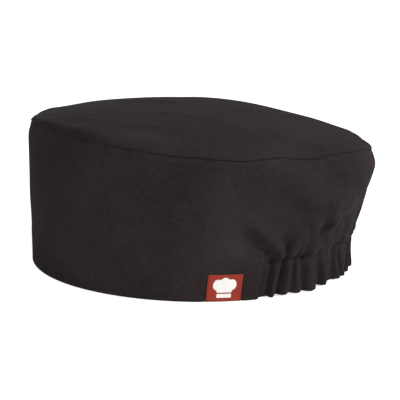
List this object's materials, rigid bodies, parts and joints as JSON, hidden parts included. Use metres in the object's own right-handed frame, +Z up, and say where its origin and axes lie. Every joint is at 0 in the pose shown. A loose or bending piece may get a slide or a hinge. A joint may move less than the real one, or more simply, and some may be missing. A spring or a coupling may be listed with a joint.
{
  "type": "chef cap",
  "caption": "Low flat-topped cook's cap in black cloth with a soft domed top, smooth front and elasticated back",
  "frame": {"origin": "on the plane of the lower edge, under the middle of the cap's box", "axes": "+Z up, -Y towards the brow, +Y towards the elasticated back, +X towards the wearer's left"},
  "size_m": [0.1872, 0.2035, 0.0946],
  "materials": {
    "black_twill": "matt black poly-cotton twill",
    "interfacing": "grey non-woven interfacing",
    "elastic": "white woven elastic",
    "black_thread": "spun polyester sewing thread",
    "binding_tape": "black cotton bias tape",
    "red_woven_label": "red damask-woven label with a plain white device",
    "red_thread": "red sewing thread",
    "white_satin": "white satin tape, unprinted",
    "white_thread": "white sewing thread"
  },
  "bodies": {
    "cap": {"crown_panel": "black_twill", "side_band": "black_twill", "front_facing": "black_twill", "front_interfacing": "interfacing", "elastic_tack_left": "black_thread", "elastic_tack_right": "black_thread", "front_topstitching": "black_thread", "crown_seam_allowance": "black_twill", "crown_seam_binding": "binding_tape", "crown_seam_stitching": "black_thread", "back_seam_allowance": "black_twill", "back_seam_stitching": "black_thread", "side_label": "red_woven_label", "side_label_stitching": "red_thread", "care_label_stitching": "white_thread"},
    "elastic_back": {"gathered_channel": "black_twill", "channel_facing": "black_twill", "elastic_tape": "elastic", "channel_topstitching": "black_thread"},
    "care_label": {"care_label": "white_satin"}
  },
  "joints": [
    {"name": "back_stretch", "type": "slide", "parent": "cap", "child": "elastic_back", "axis": [0, 1, 0], "range_m": [0, 0.018], "stiffness_N_per_m": 250},
    {"name": "care_label_flip", "type": "hinge", "parent": "cap", "child": "care_label", "pos_m": [-0.0879, 0, 0.0694], "axis": [0, -1, 0], "range_deg": [0, 105]}
  ]
}
